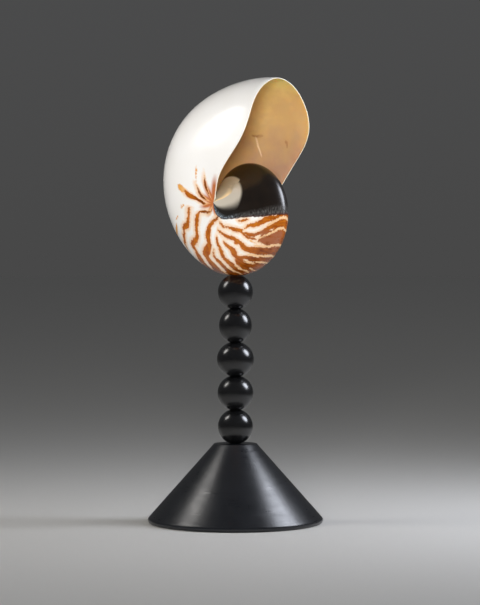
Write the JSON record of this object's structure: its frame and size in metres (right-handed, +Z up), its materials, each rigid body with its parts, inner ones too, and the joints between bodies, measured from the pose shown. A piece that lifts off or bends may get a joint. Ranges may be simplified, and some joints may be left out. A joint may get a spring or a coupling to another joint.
{
  "type": "nautilus shell on display stand",
  "caption": "Whole chambered nautilus shell, mouth open to one side, set on a black stand of stacked balls over a cone base.",
  "frame": {"origin": "centre of the base cone's flat underside", "axes": "+Z up through the stem, +X towards the shell's open mouth, +Y across the shell along its coiling axis"},
  "size_m": [0.1462, 0.1462, 0.3693],
  "materials": {
    "shell": "polished shell, porcelain white with orange-brown flames",
    "stem_black": "gloss black",
    "base_black": "satin black",
    "rod_steel": "plain steel"
  },
  "bodies": {
    "root": {"nautilus_shell": "shell", "stem_ball_1": "stem_black", "stem_ball_2": "stem_black", "stem_ball_3": "stem_black", "stem_ball_4": "stem_black", "stem_ball_5": "stem_black", "stem_rod": "rod_steel", "base_cone": "base_black"}
  },
  "joints": []
}
